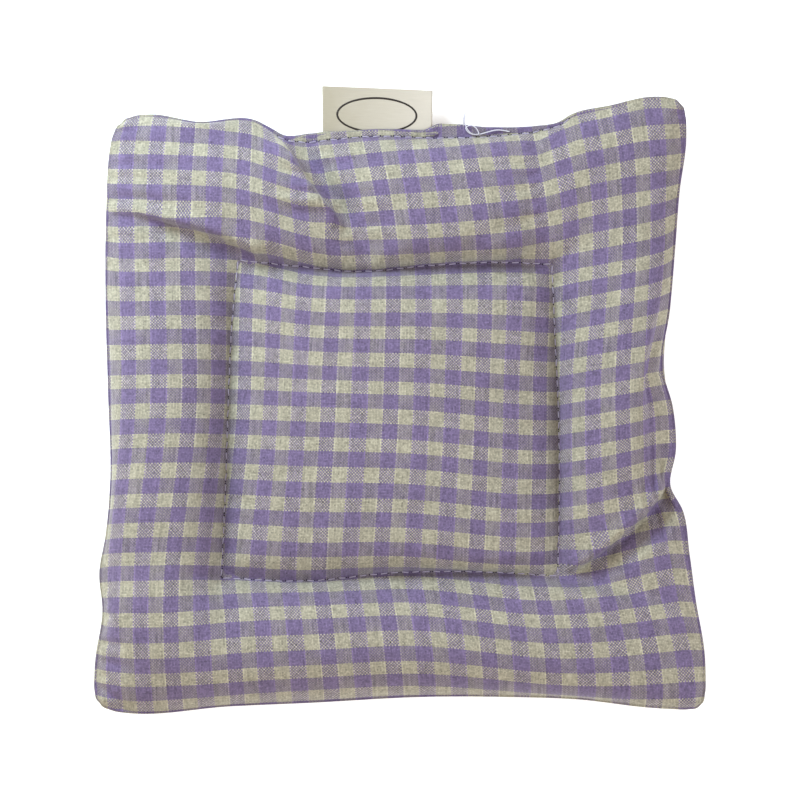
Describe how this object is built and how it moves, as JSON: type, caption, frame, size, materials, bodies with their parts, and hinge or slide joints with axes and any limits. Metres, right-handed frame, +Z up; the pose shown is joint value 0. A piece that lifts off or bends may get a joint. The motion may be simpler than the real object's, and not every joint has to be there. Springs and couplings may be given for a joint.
{
  "type": "eye pillow",
  "caption": "Square gingham cloth eye pillow with a quilted centre square, loose grain filling, a topstitched closing seam and a folded cloth label.",
  "frame": {"origin": "middle of the footprint, on the surface that the pillow lies on", "axes": "+Z up through the thickness, out of the front; +Y towards the closing seam and its label; +X to the right of a person who looks down at the front"},
  "size_m": [0.199, 0.2026, 0.0205],
  "materials": {
    "gingham": "plain-woven cotton, purple and cream 5 mm check",
    "grain": "loose seed",
    "thread": "pale spun sewing thread",
    "tape": "cream woven tape",
    "ink": "thin dark printed line"
  },
  "bodies": {
    "pillow": {"front_panel": "gingham", "back_panel": "gingham", "ring_fill": "grain", "centre_fill": "grain", "quilting_needle_thread": "thread", "quilting_bobbin_thread": "thread", "closing_needle_thread": "thread", "closing_bobbin_thread": "thread", "thread_tail": "thread", "side_seam_thread": "thread", "label_tail": "tape"},
    "label": {"label_flap": "tape", "label_print": "ink"}
  },
  "joints": [
    {"name": "label_fold", "type": "hinge", "parent": "pillow", "child": "label", "pos_m": [-0.0075, 0.08897, 0.008], "axis": [1, 0, 0], "range_deg": [-90, 90], "stiffness_Nm_per_rad": 0.002}
  ]
}
